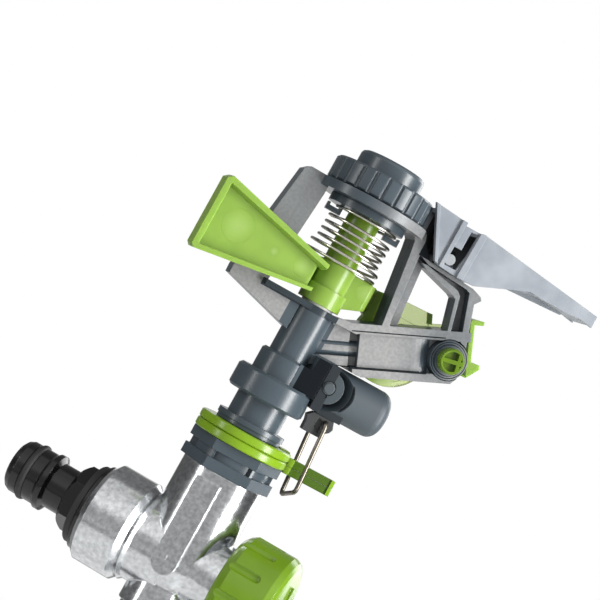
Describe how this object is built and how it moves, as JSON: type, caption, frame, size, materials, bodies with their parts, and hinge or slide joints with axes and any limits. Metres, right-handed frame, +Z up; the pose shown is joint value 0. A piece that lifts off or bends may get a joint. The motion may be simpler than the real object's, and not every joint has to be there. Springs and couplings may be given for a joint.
{
  "type": "impact sprinkler",
  "caption": "Lawn impact sprinkler: a turning nozzle head with sprung arm and knurled top on a cast tee, with quick hose connector, capped outlet and ground spike.",
  "frame": {"origin": "on the head's turning axis at the soil line, which is the underside of the spike's foot plate", "axes": "+Z up along the turning axis, +X the way the nozzle points at rest, +Y away from the side with the diffuser screw"},
  "size_m": [0.1237, 0.0568, 0.2991],
  "materials": {
    "cast_metal": "polished cast zinc alloy",
    "slate_plastic": "dark slate, fine satin texture",
    "lime_plastic": "lime green, satin",
    "green_plastic": "leaf green, satin",
    "black_plastic": "black, polished",
    "black_rubber": "matt",
    "silver_plastic": "silver grey with a blue cast, satin",
    "bright_steel": "drawn stainless",
    "white_plastic": "natural acetal",
    "nozzle_brass": "machined",
    "dark_steel": "blackened"
  },
  "bodies": {
    "tee": {"tee_body": "cast_metal", "ground_spike": "cast_metal", "hose_connector": "black_plastic", "connector_washer": "black_rubber", "connector_o_ring": "black_rubber", "bearing_body": "slate_plastic", "bearing_seal": "black_rubber"},
    "cap_ring": {"outlet_cap_seal": "black_rubber"},
    "cap": {"outlet_cap": "green_plastic"},
    "head": {"spindle": "bright_steel", "spindle_washer": "white_plastic", "sand_seal": "black_rubber", "head_frame": "slate_plastic", "nozzle_tip": "nozzle_brass", "arm_axle": "bright_steel", "axle_screw": "bright_steel", "thrust_washer": "white_plastic", "trip_pivot_pin": "bright_steel"},
    "arm": {"impact_arm": "lime_plastic", "arm_spring": "bright_steel"},
    "knob": {"tension_knob": "slate_plastic", "knob_crown": "slate_plastic", "spring_holder": "slate_plastic"},
    "flap": {"deflector_flap": "silver_plastic", "flap_pin": "silver_plastic"},
    "screw": {"diffuser_screw": "lime_plastic", "diffuser_o_ring": "black_rubber"},
    "trip": {"trip_rocker": "slate_plastic", "trip_c_spring": "dark_steel", "trip_latch_pin": "slate_plastic", "trip_clip": "slate_plastic", "trip_wire": "bright_steel"},
    "collar_lower": {"sector_collar_lower": "green_plastic"},
    "collar_upper": {"sector_collar_upper": "green_plastic"}
  },
  "joints": [
    {"name": "head_turn", "type": "hinge", "parent": "tee", "child": "head", "pos_m": [0, 0, 0.0949], "axis": [0, 0, 1], "continuous": true},
    {"name": "arm_swing", "type": "hinge", "parent": "head", "child": "arm", "pos_m": [0, 0, 0.1427], "axis": [0, 0, 1], "range_deg": [0, 80], "stiffness_Nm_per_rad": 0.01, "springref_deg": -34.38, "deforming": ["arm_spring"]},
    {"name": "knob_turn", "type": "hinge", "parent": "head", "child": "knob", "pos_m": [0, 0, 0.1658], "axis": [0, 0, 1], "range_deg": [-25, 25]},
    {"name": "flap_tilt", "type": "hinge", "parent": "head", "child": "flap", "pos_m": [0.0252, 0, 0.15825], "axis": [0, 1, 0], "range_deg": [0, 22]},
    {"name": "diffuser_turn", "type": "hinge", "parent": "head", "child": "screw", "pos_m": [0.03988, -0.006, 0.13358], "axis": [0, 1, 0], "range_deg": [-360, 360]},
    {"name": "trip_flip", "type": "hinge", "parent": "head", "child": "trip", "pos_m": [0.0155, 0, 0.1099], "axis": [1, 0, 0], "range_deg": [-9, 9]},
    {"name": "collar_lower_turn", "type": "hinge", "parent": "head", "child": "collar_lower", "pos_m": [0, 0, 0.0849], "axis": [0, 0, 1], "range_deg": [-12, 12]},
    {"name": "collar_upper_turn", "type": "hinge", "parent": "head", "child": "collar_upper", "pos_m": [0, 0, 0.0874], "axis": [0, 0, 1], "range_deg": [-12, 12]},
    {"name": "cap_slide", "type": "slide", "parent": "tee", "child": "cap_ring", "axis": [0.9078, -0.4195, 0], "range_m": [0, 0.01272]},
    {"name": "cap_turn", "type": "hinge", "parent": "cap_ring", "child": "cap", "pos_m": [0, 0, 0.048], "axis": [0.9078, -0.4195, 0], "range_deg": [0, 2520]}
  ],
  "couplings": [
    {"joint": "cap_slide", "follows": "cap_turn", "m_per_rad": 0.00028871}
  ]
}
